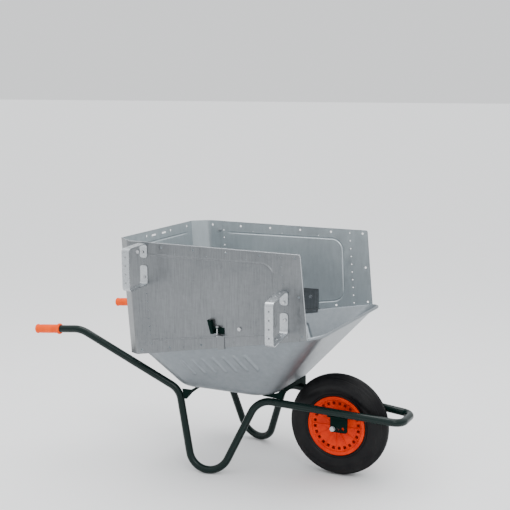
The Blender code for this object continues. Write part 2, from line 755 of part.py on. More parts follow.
def build_side_panel(label, side, root, steel):
    """Flat side with punched holes, then a round fold into a narrow chamfer strip."""
    top, bottom = fold_columns(side)
    bm = bmesh.new()
    front = [
        panel_middle(PANEL_BOTTOM_FRONT_X, panel_bottom(PANEL_BOTTOM_FRONT_X), side),
        panel_middle(*PANEL_TOP_FRONT, side),
    ]
    across, along = skew(side)
    hoop_bolts = [spot for pair in hoop_bolt_spots().values() for spot in pair if side < 0]
    bolts = [(CORNER_BOLT, M8), (HOOK_BOLT, M8)] + [(spot, M6) for spot in hoop_bolts]
    centres = [panel_middle(x, z, side) for x, z in large_holes()]
    holes = [circle_points(centre, LARGE_HOLE, 8, across, along) for centre in centres]
    for column in small_hole_columns():
        centres = [panel_middle(*spot, side) for spot in column if spot not in hoop_bolts]
        holes += [circle_points(centre, SMALL_HOLE, 6, across, along) for centre in centres]
    holes += [bolt_hole(panel_middle(*spot, side), size, side) for spot, size in bolts]
    add_facet(bm, [bottom[0], *front, top[0]], holes)
    for index in range(3):
        add_facet(bm, [bottom[index], bottom[index + 1], top[index + 1], top[index]])
    sheet_object(f"{label}_side_panel", bm, SHEET, steel, root)


def build_rear_panel(root, steel):
    """Rear wall with a chamfer and a flange at each end, lying inside the side panels."""
    inward = SHEET + GAP
    bm = bmesh.new()
    flange_front = -0.684
    lift = Vector((0, 0, 0.0085))  # keeps the flanges clear of the tray's bead
    ends = {}
    for side in (1, -1):
        top, bottom = fold_columns(side, inward)
        low = panel_middle(flange_front, panel_bottom(flange_front), side, inward) + lift
        start = panel_middle(flange_front, PANEL_TOP_REAR[1], side, inward)
        bottom = [point + lift if index < 3 else point for index, point in enumerate(bottom)]
        across, along = skew(side)
        centres = [panel_middle(*large_holes()[index], side, inward) for index in (5, 11)]
        holes = [circle_points(centre, LARGE_HOLE, 8, across, along) for centre in centres]
        holes.append(bolt_hole(panel_middle(*CORNER_BOLT, side, inward), M8, side))
        add_facet(bm, [bottom[0], low, start, top[0]], holes)
        for index in range(3):
            add_facet(bm, [bottom[index], bottom[index + 1], top[index + 1], top[index]])
        ends[side] = (top[3], bottom[3])
    (top_left, low_left), (top_right, low_right) = ends[1], ends[-1]
    up = (top_left - low_left)
    up.y = 0
    up.normalize()
    sideways = Vector((0, 1, 0))

    def on_wall(y, below_top):
        return Vector((top_left.x, y, top_left.z)) - up * below_top

    centres = [on_wall(y, 0.019) for y in (-0.232, -0.095, 0.095, 0.232)]
    holes = [circle_points(centre, LARGE_HOLE, 8, sideways, up) for centre in centres]
    for middle in (-0.040, 0.040):
        holes.append(slot_points(on_wall(middle, 0.0215), 0.0165, 0.0035, sideways, up))
    wall = [low_right, low_left, top_left, top_right]
    add_facet(bm, wall, holes)
    lip = Vector((0.026, 0, 0))
    add_facet(bm, [low_right, low_left, low_left + lip, low_right + lip])
    sheet_object("rear_panel", bm, SHEET, steel, root)


def slot_points(centre, half_length, half_width, across, along):
    """Round-ended slot with its length along across."""
    points = []
    for end, start in ((1, -0.5 * math.pi), (-1, 0.5 * math.pi)):
        middle = centre + across * end * (half_length - half_width)
        for step in range(5):
            angle = start + math.pi * step / 4
            points.append(middle + (across * math.cos(angle) + along * math.sin(angle)) * half_width)
    return points


def build_corner_bolts(root, zinc):
    for label, side in (("left", 1), ("right", -1)):
        through_bolt(f"{label}_corner", M8, CORNER_BOLT, side, 2 * SHEET + GAP, zinc, root)


# ---------------------------------------------------------------- rim clamps

def skew(side):
    """Directions along and up the leaning face of a side panel."""
    return Vector((1, side * PANEL_SPREAD_X, 0)), Vector((0, side * PANEL_SPREAD_Z, 1))


def bolt_hole(centre, size, side):
    across, along = skew(side)
    return circle_points(centre, size["shank"] + BOLT_CLEARANCE, 8, across, along)


def build_rim_hook(label, side, root, steel):
    """Plate inside the panel that hooks over the tray's bead."""
    front_x, rear_x = -0.230, -0.298
    top_z = 0.655
    inward = SHEET / 2 + CLAMP_SHEET / 2 + GAP
    bead_top = rim_z(front_x) + BEAD_RADIUS + SHEET / 2 + 2 * GAP + CLAMP_SHEET / 2
    step_in = 2 * BEAD_RADIUS + SHEET + CLAMP_SHEET + 0.003
    lip = 0.010
    slope = (front_x - rear_x) * RIM_SLOPE

    def row(z, extra):
        rear = panel_middle(rear_x, z - slope, side, inward + extra)
        return rear, panel_middle(front_x, z, side, inward + extra)

    top = (panel_middle(rear_x, top_z, side, inward), panel_middle(front_x, top_z, side, inward))
    low = row(bead_top, 0)
    shelf = row(bead_top, step_in)
    edge = row(bead_top - lip, step_in)
    hole = bolt_hole(panel_middle(*HOOK_BOLT, side, inward), M8, side)
    bm = bmesh.new()
    add_facet(bm, [*top, low[1], low[0]], [hole])
    add_facet(bm, [*low, shelf[1], shelf[0]])
    add_facet(bm, [*shelf, edge[1], edge[0]])
    sheet_object(f"{label}_rim_hook", bm, CLAMP_SHEET, steel, root)


def clamp_point(x, z, side, outward=0.0):
    """Point of a sheet that lies against the outer face of a side panel, or outward of it."""
    return panel_middle(x, z, side, -(SHEET + CLAMP_SHEET) / 2 - GAP - outward)


def screw_hole(z, side, outward):
    centre = clamp_point(SCREW_X, z, side, outward)
    return circle_points(centre, M6["shank"] + BOLT_CLEARANCE, 8, Vector((1, 0, 0)), Vector((0, 1, 0)))


def build_clamp_bracket(label, side, root, paint):
    """Dark bracket welded to the panel: a base, a slanting hollow rib and a screw tab."""
    low_z, top_z = 0.594, 0.645
    rib = 0.016
    front_x = -0.327
    tab = (-0.341, -0.365)
    share = (TAB_Z - low_z) / (top_z - low_z)
    front = [(-0.367, low_z), (-0.367 - 0.010 * share, TAB_Z), (-0.377, top_z)]
    rear = [(-0.376, low_z), (-0.390, top_z)]

    def points(spots, outward):
        return [clamp_point(x, z, side, outward) for x, z in spots]

    bm = bmesh.new()
    base = [front[0], (front_x, low_z), (front_x, TAB_Z), (tab[0], TAB_Z), (tab[1], TAB_Z), front[1]]
    add_facet(bm, points(base, 0))
    fold = points([(tab[0], TAB_Z), (tab[1], TAB_Z)], 0)
    edge = points([(tab[1], TAB_Z), (tab[0], TAB_Z)], 2 * SCREW_REACH)
    add_facet(bm, fold + edge, [screw_hole(TAB_Z, side, SCREW_REACH)])
    add_facet(bm, points(front, 0) + points([front[2], front[0]], rib))
    add_facet(bm, points([front[0], front[2], rear[1], rear[0]], rib))
    add_facet(bm, points(rear, rib) + points(rear[::-1], 0.001))
    sheet_object(f"{label}_clamp_bracket", bm, CLAMP_SHEET, paint, root)


def build_clamp_strap(label, side, root, steel):
    """Strap that the screw pulls upward; its foot hooks under the bead."""
    front_x, rear_x = -0.328, -0.357
    foot = 0.011

    def row(z_front, outward):
        z_rear = z_front - (front_x - rear_x) * RIM_SLOPE
        return [clamp_point(front_x, z_front, side, outward), clamp_point(rear_x, z_rear, side, outward)]

    under = rim_z(front_x) - BEAD_RADIUS - SHEET / 2 - 2 * GAP - CLAMP_SHEET / 2
    fold = [clamp_point(x, STRAP_TAB_Z, side) for x in (front_x, rear_x)]
    edge = [clamp_point(x, STRAP_TAB_Z, side, 2 * SCREW_REACH) for x in (rear_x, front_x)]
    low = row(under, 0)
    toe = row(under, -foot)
    bm = bmesh.new()
    add_facet(bm, fold + edge, [screw_hole(STRAP_TAB_Z, side, SCREW_REACH)])
    add_facet(bm, fold + low[::-1])
    add_facet(bm, low + toe[::-1])
    sheet_object(f"{label}_clamp_strap", bm, CLAMP_SHEET, steel, root)


def build_clamps(root, steel, paint, zinc):
    """On each side: a hook inside the panel and a screw-tightened strap outside it."""
    for label, side in (("left", 1), ("right", -1)):
        build_rim_hook(label, side, root, steel)
        build_clamp_bracket(label, side, root, paint)
        build_clamp_strap(label, side, root, steel)
        through_bolt(f"{label}_hook", M8, HOOK_BOLT, side, SHEET + CLAMP_SHEET + GAP, zinc, root)
        top = clamp_point(SCREW_X, TAB_Z + CLAMP_SHEET / 2 + GAP, side, SCREW_REACH)
        bolt(f"{label}_clamp_screw", M6, 0.036, top, (0, 0, -1), zinc, root, segments=8)


def through_bolt(name, size, spot, side, grip, zinc, root, outward=0.0):
    """Bolt with its head outside the panel at spot, and the nut inside."""
    x, z = spot
    face = panel_y(x, z) + outward
    head = Vector((x, side * (face + BOLT_SLACK), z))
    inside = Vector((x, side * (face - grip - BOLT_SLACK), z))
    bolt(f"{name}_bolt", size, grip + size["nut"] + 0.003, head, (0, -side, 0), zinc, root)
    nut(f"{name}_nut", size, inside, (0, -side, 0), zinc, root)


# ---------------------------------------------------------------- tool-holder hoops

def hoop_bolt_spots():
    """Upper and lower bolt centres of each hoop, in the panel's columns of small holes."""
    front, rear = small_hole_columns()
    return {"rear_hoop": (rear[0], rear[3]), "front_hoop": (front[5], front[7])}


def hoop_rows(x, z, drop):
    """Pairs of points across the strip, from the upper flange round to the lower tab."""
    out = -(SHEET + HOOP_SHEET) / 2 - GAP
    edges = (x - HOOP_WIDTH / 2, x + HOOP_WIDTH / 2)
    side = -1
    low = z - drop - HOOP_DROP
    inner_low = z - HOOP_LOWER_ARM
    outline = [
        (0, z - HOOP_FLANGE), (0, z - HOOP_CORNER), (HOOP_CORNER, z),
        (HOOP_REACH - HOOP_CORNER, z - drop), (HOOP_REACH, z - drop - HOOP_CORNER),
        (HOOP_REACH, low + HOOP_CORNER), (HOOP_REACH - HOOP_CORNER, low),
        (HOOP_CORNER, inner_low), (0, inner_low + HOOP_CORNER), (0, inner_low + HOOP_TAB),
    ]
    rows = []
    for away, level in outline:
        spots = [panel_middle(edge, level, side, out) for edge in edges]
        rows.append([spot + Vector((0, side * away, 0)) for spot in spots])
    return rows


def build_hoops(root, steel, zinc):
    """Perforated strips bent into closed hoops on the right-hand panel."""
    side = -1
    grip = SHEET + HOOP_SHEET + GAP
    out = -(SHEET + HOOP_SHEET) / 2 - GAP
    for name, (x, z, drop) in HOOPS.items():
        rows = hoop_rows(x, z, drop)
        upper, lower = hoop_bolt_spots()[name]
        bm = bmesh.new()
        for index, (first, second) in enumerate(zip(rows, rows[1:])):
            run = second[0] - first[0]
            holes = []
            if index in (0, len(rows) - 2):
                spot = upper if index == 0 else lower
                holes = [bolt_hole(panel_middle(*spot, side, out), M6, side)]
            elif run.length > 3 * SMALL_PITCH:
                count = round(run.length / SMALL_PITCH)
                middle = (first[0] + first[1]) / 2
                spots = [middle + run * (step + 0.5) / count for step in range(count)]
                width = (first[1] - first[0]).normalized()
                holes = [circle_points(spot, HOOP_HOLE, 6, width, run.normalized()) for spot in spots]
            add_facet(bm, [first[0], first[1], second[1], second[0]], holes)
        sheet_object(name, bm, HOOP_SHEET, steel, root)
        for level, spot in (("upper", upper), ("lower", lower)):
            through_bolt(f"{name}_{level}", M6, spot, side, grip, zinc, root, HOOP_SHEET + GAP)


def main():
    clear_scene()
    paint = make_material("frame_paint", (0.012, 0.035, 0.028), 0.3, 0.0)
    zinc_sheet = make_material("galvanised_sheet", (0.55, 0.58, 0.60), 0.38, 1.0)
    zinc = make_material("zinc_plate", (0.72, 0.73, 0.74), 0.3, 1.0)
    orange = make_material("orange_plastic", (0.85, 0.10, 0.01), 0.4, 0.0)
    rubber = make_material("tyre_rubber", (0.012, 0.012, 0.013), 0.55, 0.0)
    black = make_material("black_plastic", (0.02, 0.02, 0.02), 0.5, 0.0)

    root = make_empty("wheelbarrow", None, FRAME_ORIGIN)
    axis = make_empty("wheel_axis", root, (0, 0, WHEEL_RADIUS))
    build_tyre(axis, rubber)
    build_inner_tube(axis, rubber)
    build_rim(axis, orange, black)
    build_valve(axis, rubber, black)
    build_bushes(axis, black)
    build_axle(root, zinc, zinc)
    build_frame_tubes(root, paint)
    build_grips(root, orange)
    build_front_cross_member(root, paint)
    build_rear_cross_member(root, paint)
    build_axle_brackets(root, paint)
    build_tray(root, zinc_sheet)
    build_tray_bolts(root, zinc)
    for label, side in (("left", 1), ("right", -1)):
        build_side_panel(label, side, root, zinc_sheet)
    build_rear_panel(root, zinc_sheet)
    build_corner_bolts(root, zinc)
    build_clamps(root, zinc_sheet, paint, zinc)
    build_hoops(root, zinc_sheet, zinc)


main()
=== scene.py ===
"""Studio scene of the wheelbarrow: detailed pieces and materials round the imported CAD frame.

Shapes are built in a design frame whose origin is on the ground under the wheel's axle, with
+X towards the wheel and +Y to the user's left, and each piece is then placed at that point.
"""

import json
import math

import bmesh
import bpy
from mathutils import Matrix, Vector


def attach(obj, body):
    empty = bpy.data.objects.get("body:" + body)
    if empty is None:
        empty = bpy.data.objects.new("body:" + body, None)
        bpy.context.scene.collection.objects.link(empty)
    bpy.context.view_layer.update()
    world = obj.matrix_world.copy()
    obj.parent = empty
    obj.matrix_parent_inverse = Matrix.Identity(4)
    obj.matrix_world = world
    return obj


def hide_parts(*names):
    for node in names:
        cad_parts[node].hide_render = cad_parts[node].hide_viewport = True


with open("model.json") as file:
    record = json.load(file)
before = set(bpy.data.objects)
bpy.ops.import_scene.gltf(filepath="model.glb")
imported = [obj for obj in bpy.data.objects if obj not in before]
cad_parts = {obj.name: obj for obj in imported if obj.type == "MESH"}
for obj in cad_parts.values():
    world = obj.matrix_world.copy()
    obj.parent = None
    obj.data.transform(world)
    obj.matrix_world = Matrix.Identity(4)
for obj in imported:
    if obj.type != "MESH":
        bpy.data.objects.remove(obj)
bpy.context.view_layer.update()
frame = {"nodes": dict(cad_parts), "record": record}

AXLE = Vector(frame["record"]["behaviour"]["joints"][0]["pos_m"])
ORIGIN = Vector((AXLE.x, AXLE.y, 0.0))
BODY = "barrow"
WHEEL = "wheel"
X_AXIS, Y_AXIS, Z_AXIS = Vector((1, 0, 0)), Vector((0, 1, 0)), Vector((0, 0, 1))

# ---------------------------------------------------------------- dimensions of the CAD part

SHEET = 0.0012
GAP = 0.0003
TUBE_RADIUS = 0.015
GRIP_END = Vector((-1.209, 0.295, 0.519))
HANDLE_BEND = Vector((-0.994, 0.295, 0.539))
REAR_LEG_TOP = Vector((-0.604, 0.193, 0.312))
FOOT_VERTEX = Vector((-0.474, 0.269, -0.151))
FRONT_LEG_TOP = Vector((-0.291, 0.127, 0.2935))
BUMPER_CORNER = Vector((0.272, 0.067, 0.256))

FLOOR_Z = 0.322
FLOOR_REAR_X, FLOOR_FRONT_X = -0.600, -0.213
FLOOR_HALF_WIDTH = 0.188
FLOOR_REAR_CORNER, FLOOR_FRONT_CORNER = 0.050, 0.085
FLOOR_FILLET = 0.035
RIM_SLOPE, RIM_Z_AT_AXLE = 0.1835, 0.606
RIM_REAR_X, RIM_FRONT_X = -0.735, 0.052
RIM_REAR_CORNER, RIM_FRONT_CORNER = 0.110, 0.075
BEAD_RADIUS = 0.005

PANEL_TOP_FRONT = (-0.0206, 0.914)
PANEL_TOP_REAR = (-0.746, 0.918)
PANEL_BOTTOM_REAR_X = -0.713
PANEL_BOTTOM_FRONT_X = 0.0085
PANEL_OVERLAP = 0.002
PANEL_Y = 0.324
PANEL_SPREAD_X, PANEL_SPREAD_Z = 0.0166, 0.014
CHAMFER = Vector((-0.060, -0.054))
LARGE_HOLE, SMALL_HOLE, RIVET_HOLE = 0.0045, 0.0026, 0.0016
HEM_RADIUS, HEM_DROP = 0.0014, 0.0016
PANEL_BEAD_LIFT = 0.0024
REAR_PANEL_RAISE, REAR_PANEL_FRONT_X = 0.0085, -0.684
FOLD_SETBACK, FOLD_STEPS = 0.010, 8
HOLE_PITCH, SMALL_PITCH = 0.138, 0.0321
CORNER_BOLT = (-0.6955, 0.877)

HOOPS = {"rear_hoop": (-0.6715, 0.912, 0.006), "front_hoop": (-0.0835, 0.783, 0.027)}
HOOP_WIDTH, HOOP_SHEET = 0.032, 0.003
HOOP_REACH, HOOP_DROP, HOOP_FLANGE = 0.125, 0.159, 0.056
HOOP_LOWER_ARM, HOOP_TAB = 0.157, 0.072
HOOP_CORNER, HOOP_END_CORNER = 0.015, 0.010
HOOP_BOLT_LEVELS = {"rear_hoop": (0.878, 0.7817), "front_hoop": (0.7375, 0.6733)}


# ---------------------------------------------------------------- materials


class Nodes:
    """A material with a Principled shader and short ways to wire nodes to it."""

    def __init__(self, name, colour, roughness, metallic=0.0, **sockets):
        self.material = bpy.data.materials.new(name)
        self.material.use_nodes = True
        self.tree = self.material.node_tree
        self.shader = self.tree.nodes["Principled BSDF"]
        self.shader.inputs["Base Color"].default_value = (*colour, 1)
        self.shader.inputs["Roughness"].default_value = roughness
        self.shader.inputs["Metallic"].default_value = metallic
        for socket, value in sockets.items():
            self.shader.inputs[socket.replace("_", " ")].default_value = value
        self.coordinates = self.add("ShaderNodeTexCoord").outputs["Object"]

    def add(self, kind, **settings):
        node = self.tree.nodes.new(kind)
        for name, value in settings.items():
            setattr(node, name, value)
        return node

    def link(self, source, target):
        self.tree.links.new(source, target)

    def stretched(self, scale, rotation=(0, 0, 0)):
        mapping = self.add("ShaderNodeMapping")
        mapping.inputs["Scale"].default_value = scale
        mapping.inputs["Rotation"].default_value = rotation
        self.link(self.coordinates, mapping.inputs["Vector"])
        return mapping.outputs["Vector"]

    def noise(self, scale, detail=4.0, roughness=0.55, vector=None):
        node = self.add("ShaderNodeTexNoise")
        node.inputs["Scale"].default_value = scale
        node.inputs["Detail"].default_value = detail
        node.inputs["Roughness"].default_value = roughness
        self.link(vector or self.coordinates, node.inputs["Vector"])
        return node.outputs["Fac"]

    def cells(self, scale, vector=None):
        node = self.add("ShaderNodeTexVoronoi")
        node.inputs["Scale"].default_value = scale
        self.link(vector or self.coordinates, node.inputs["Vector"])
        split = self.add("ShaderNodeSeparateColor")
        self.link(node.outputs["Color"], split.inputs["Color"])
        return split.outputs["Red"]

    def ramp(self, source, low, high, start=0.0, end=1.0):
        """Maps source from start..end onto the numbers low..high."""
        node = self.add("ShaderNodeMapRange")
        node.inputs["From Min"].default_value = start
        node.inputs["From Max"].default_value = end
        node.inputs["To Min"].default_value = low
        node.inputs["To Max"].default_value = high
        self.link(source, node.inputs["Value"])
        return node.outputs["Result"]

    def sum(self, first, second, operation="ADD"):
        node = self.add("ShaderNodeMath", operation=operation)
        for value, socket in zip((first, second), node.inputs):
            if isinstance(value, float):
                socket.default_value = value
            else:
                self.link(value, socket)
        return node.outputs["Value"]

    def mix(self, factor, first, second):
        node = self.add("ShaderNodeMix", data_type="RGBA")
        self.link(factor, node.inputs["Factor"])
        for value, socket in ((first, node.inputs["A"]), (second, node.inputs["B"])):
            if isinstance(value, tuple):
                socket.default_value = (*value, 1)
            else:
                self.link(value, socket)
        return node.outputs["Result"]

    def bump(self, height, strength, distance):
        node = self.add("ShaderNodeBump")
        node.inputs["Strength"].default_value = strength
        node.inputs["Distance"].default_value = distance
        self.link(height, node.inputs["Height"])
        self.link(node.outputs["Normal"], self.shader.inputs["Normal"])

    def to(self, socket, source):
        self.link(source, self.shader.inputs[socket])


def galvanised(name, dark, light, rough, brush=(60, 60, 2), spangle=70.0, metallic=0.9):
    """Zinc-coated sheet: faint crystal spangle, rolling streaks and smudges."""
    m = Nodes(name, light, rough[0], metallic)
    streaks = m.noise(6.0, 6.0, 0.7, m.stretched(brush))
    crystals = m.cells(spangle, m.stretched((1, 1, 1.6)))
    clouds = m.noise(5.0, 3.0, 0.5)
    blend = m.sum(m.ramp(streaks, 0.0, 0.58, 0.3, 0.7), m.ramp(crystals, 0.0, 0.12))
    blend = m.sum(blend, m.ramp(clouds, 0.0, 0.30, 0.3, 0.7))
    m.to("Base Color", m.mix(blend, dark, light))
    smooth = m.sum(m.ramp(streaks, 0.0, rough[1], 0.3, 0.7), m.ramp(crystals, 0.0, 0.06))
    m.to("Roughness", m.sum(smooth, m.ramp(clouds, rough[0], rough[0] + 0.06, 0.3, 0.7)))
    m.bump(m.sum(m.ramp(streaks, 0.0, 0.4), m.ramp(clouds, 0.0, 1.0)), 0.25, 0.0008)
    return m.material


def frame_paint(name, gloss, specular):
    """Stoved paint with orange peel and light scuffs; gloss is its roughness where it is clean."""
    m = Nodes(name, (0.003, 0.012, 0.010), gloss, Specular_IOR_Level=specular)
    scuffs = m.noise(140.0, 6.0, 0.75, m.stretched((1, 3, 3)))
    clouds = m.noise(9.0, 3.0)
    worn = m.sum(m.ramp(scuffs, 0.0, 1.0, 0.60, 0.72), m.ramp(clouds, 0.0, 0.35, 0.4, 0.7), "MULTIPLY")
    m.to("Base Color", m.mix(worn, (0.002, 0.010, 0.0085), (0.016, 0.036, 0.031)))
    dulled = m.ramp(scuffs, 0.0, 0.08, 0.5, 0.8)
    m.to("Roughness", m.sum(m.ramp(clouds, gloss, gloss + 0.12, 0.3, 0.7), dulled))
    m.bump(m.noise(420.0, 2.0), 0.12, 0.0004)
    return m.material


def plastic(name, dark, light, rough):
    """Injection-moulded plastic with a fine grain and slight colour drift."""
    m = Nodes(name, light, rough, Specular_IOR_Level=0.15)
    clouds = m.noise(22.0, 4.0)
    fine = m.noise(900.0, 3.0, 0.6)
    m.to("Base Color", m.mix(m.ramp(clouds, 0.0, 1.0, 0.35, 0.65), dark, light))
    grainy = m.ramp(fine, -0.05, 0.07, 0.3, 0.7)
    m.to("Roughness", m.sum(grainy, m.ramp(clouds, rough, rough + 0.08, 0.3, 0.7)))
    m.bump(m.sum(m.ramp(fine, 0.0, 0.6), clouds), 0.15, 0.0003)
    return m.material


def rubber():
    """Black tyre rubber: soft sheen, fine grain and a little dust."""
    m = Nodes("tyre_rubber", (0.006, 0.006, 0.007), 0.38, Specular_IOR_Level=0.16)
    clouds = m.noise(14.0, 5.0, 0.6)
    fine = m.noise(700.0, 3.0, 0.6)
    dusty = m.ramp(clouds, 0.0, 1.0, 0.4, 0.75)
    m.to("Base Color", m.mix(dusty, (0.004, 0.004, 0.005), (0.011, 0.011, 0.011)))
    m.to("Roughness", m.sum(m.ramp(clouds, 0.28, 0.42, 0.3, 0.7), m.ramp(fine, 0.0, 0.06)))
    m.bump(m.sum(m.ramp(fine, 0.0, 0.5), clouds), 0.2, 0.0005)
    return m.material


def zinc_plate():
    """Bright zinc on bolts and washers, with handling marks."""
    m = Nodes("zinc_plate", (0.70, 0.71, 0.72), 0.26, 1.0)
    marks = m.noise(260.0, 5.0, 0.7)
    clouds = m.noise(60.0, 3.0)
    handled = m.ramp(clouds, 0.0, 1.0, 0.3, 0.7)
    m.to("Base Color", m.mix(handled, (0.38, 0.39, 0.41), (0.62, 0.63, 0.64)))
    m.to("Roughness", m.ramp(marks, 0.16, 0.42, 0.3, 0.7))
    m.bump(marks, 0.12, 0.0003)
    return m.material


MATERIALS = {
    "frame_paint": frame_paint("frame_paint", 0.16, 0.22),
    "plate_paint": frame_paint("plate_paint", 0.62, 0.05),
    # The right panel's sheet and the paler, less metallic copy below are one galvanised sheet, painted darker and
    # lighter for how light falls on each side: painted shade and painted light
    "panel": galvanised("galvanised_panel", (0.12, 0.128, 0.135), (0.26, 0.273, 0.284), (0.22, 0.14)),
    # Paler copy of the panel sheet for the left and rear panels: painted light
    "panel_painted_lighter": galvanised(
        "galvanised_panel_painted_lighter", (0.38, 0.425, 0.445), (0.50, 0.555, 0.58), (0.30, 0.10),
        (14, 14, 3), 90.0, 0.7),
    "tray": galvanised(
        "galvanised_tray", (0.20, 0.222, 0.24), (0.28, 0.305, 0.325), (0.32, 0.08), (8, 8, 8), 110.0, 0.85),
    "strip": galvanised(
        "galvanised_strip", (0.36, 0.38, 0.40), (0.58, 0.61, 0.63), (0.20, 0.12), (20, 20, 20), 160.0),
    "zinc_plate": zinc_plate(),
    "rim": plastic("orange_rim", (0.56, 0.018, 0.0), (0.76, 0.036, 0.0), 0.5),
    "grip": plastic("orange_grip", (0.78, 0.050, 0.0005), (0.95, 0.095, 0.001), 0.45),
    "tyre": rubber(),
    "black": plastic("black_plastic", (0.012, 0.012, 0.012), (0.028, 0.028, 0.028), 0.45),
}


# ---------------------------------------------------------------- mesh building


def round_edges(obj, width, sharper_than):
    """Bevels the edges that turn by more than sharper_than degrees."""
    rounding = obj.modifiers.new("edges", "BEVEL")
    rounding.width = width
    rounding.segments = 2
    rounding.limit_method = "ANGLE"
    rounding.angle_limit = math.radians(sharper_than)


def piece(name, bm, look, body=BODY, stands_for=(), thickness=0.0, offset=0.0, bevel=0.0, angle=30,
          at=ORIGIN):
    """Makes an object from bm, gives it its material, and ties it to its CAD body."""
    bmesh.ops.remove_doubles(bm, verts=bm.verts, dist=1e-6)
    bmesh.ops.recalc_face_normals(bm, faces=bm.faces)
    mesh = bpy.data.meshes.new(name)
    bm.to_mesh(mesh)
    bm.free()
    mesh.materials.append(MATERIALS[look])
    obj = bpy.data.objects.new(name, mesh)
    bpy.context.scene.collection.objects.link(obj)
    obj.location = at
    if thickness:
        solidify = obj.modifiers.new("thickness", "SOLIDIFY")
        solidify.thickness = thickness
        solidify.offset = offset
        solidify.use_even_offset = True
    if bevel:
        round_edges(obj, bevel, 40)
    if obj.modifiers:
        solid = bpy.data.meshes.new_from_object(obj.evaluated_get(bpy.context.evaluated_depsgraph_get()))
        obj.modifiers.clear()
        obj.data = solid
    obj.data.shade_smooth()
    obj.data.set_sharp_from_angle(angle=math.radians(angle))
    even = obj.modifiers.new("even_shading", "WEIGHTED_NORMAL")
    even.keep_sharp = True
    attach(obj, body)
    if stands_for:
        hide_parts(*stands_for)
    return obj


def keep(names, look, bevel=0.0004):
    """Dress CAD nodes whose shape is right already: rounded edges and a material."""
    for name in names:
        obj = frame["nodes"][name]
        obj.data.materials.clear()
        obj.data.materials.append(MATERIALS[look])
        round_edges(obj, bevel, 35)


def bridge(bm, first, second, closed=True):
    count = len(first) if closed else len(first) - 1
    for step in range(count):
        after = (step + 1) % len(first)
        corners = list(dict.fromkeys((first[step], first[after], second[after], second[step])))
        if len(corners) > 2:
            bm.faces.new(corners)


def lathe(profile, segments, closed=True, bm=None):
    """Turn (radius, height) points about the local Y axis."""
    bm = bm or bmesh.new()
    rings = []
    for radius, height in profile:
        ring = []
        for step in range(segments):
            angle = 2 * math.pi * step / segments
            if radius == 0 and ring:
                ring.append(ring[0])
                continue
            ring.append(bm.verts.new((radius * math.cos(angle), height, radius * math.sin(angle))))
        rings.append(ring)
    pairs = list(zip(rings, rings[1:]))
    if closed:
        pairs.append((rings[-1], rings[0]))
    for low, high in pairs:
        bridge(bm, low, high)
    return bm, rings


def bend_path(corners, radii, steps):
    """Points along straight runs joined by round bends."""
    points = [corners[0]]
    for before, corner, after, radius, count in zip(corners, corners[1:], corners[2:], radii, steps):
        back = (before - corner).normalized()
        ahead = (after - corner).normalized()
        half = back.angle(ahead) / 2
        centre = corner + (back + ahead).normalized() * radius / math.sin(half)
        start = corner + back * radius / math.tan(half)
        normal = back.cross(ahead).normalized()
        turn = math.pi - 2 * half
        for step in range(count + 1):
            spin = Matrix.Rotation(-turn * step / count, 3, normal)
            points.append(centre + spin @ (start - centre))
    points.append(corners[-1])
    return points


def sweep(path, radius, sides):
    """Solid round bar along a path."""
    bm = bmesh.new()
    tangents = []
    for index in range(len(path)):
        ahead = path[min(index + 1, len(path) - 1)] - path[index]
        behind = path[index] - path[max(index - 1, 0)]
        tangents.append((ahead.normalized() + behind.normalized()).normalized())
    guide = Z_AXIS if abs(tangents[0].z) < 0.9 else X_AXIS
    side = tangents[0].cross(guide).normalized()
    rings = []
    for point, tangent in zip(path, tangents):
        side = (side - tangent * side.dot(tangent)).normalized()
        up = side.cross(tangent)
        angles = [2 * math.pi * step / sides for step in range(sides)]
        rings.append([bm.verts.new(point + (side * math.cos(a) + up * math.sin(a)) * radius) for a in angles])
    for first, second in zip(rings, rings[1:]):
        bridge(bm, first, second)
    bm.faces.new(rings[0])
    bm.faces.new(rings[-1])
    return bm


def subdivided(points, longest):
    """The same path with extra points, so that no run is longer than longest."""
    result = [points[0]]
    for start, end in zip(points, points[1:]):
        count = max(1, math.ceil((end - start).length / longest))
        result += [start.lerp(end, (step + 1) / count) for step in range(count)]
    return result


def add_facet(bm, outline, holes=()):
    edges = []
    for loop in (outline, *holes):
        verts = [bm.verts.new(point) for point in loop]
        edges += [bm.edges.new(ends) for ends in zip(verts, verts[1:] + verts[:1])]
    bmesh.ops.triangle_fill(bm, use_beauty=True, use_dissolve=False, edges=edges)


def ring_points(centre, radius, sides, across, along):
    angles = [2 * math.pi * step / sides for step in range(sides)]
    return [centre + (across * math.cos(a) + along * math.sin(a)) * radius for a in angles]


def mirrored(points, side):
    return [Vector((point[0], point[1] * side, point[2])) for point in points]


# ---------------------------------------------------------------- frame


def build_frame():
    """One continuous bent tube from grip to grip, round the front of the wheel."""
    half = [GRIP_END + (HANDLE_BEND - GRIP_END).normalized() * 0.006,
            HANDLE_BEND, REAR_LEG_TOP, FOOT_VERTEX, FRONT_LEG_TOP, BUMPER_CORNER]
    corners = half + mirrored(half[::-1], -1)
    radii = [0.090, 0.080, 0.082, 0.081, 0.041]
    steps = [12, 12, 22, 14, 14]
    path = bend_path(corners, radii + radii[::-1], steps + steps[::-1])
    bm = sweep(subdivided(path, 0.06), TUBE_RADIUS, 32)
    piece("frame_tube", bm, "frame_paint", stands_for=("left_frame_tube", "right_frame_tube"))


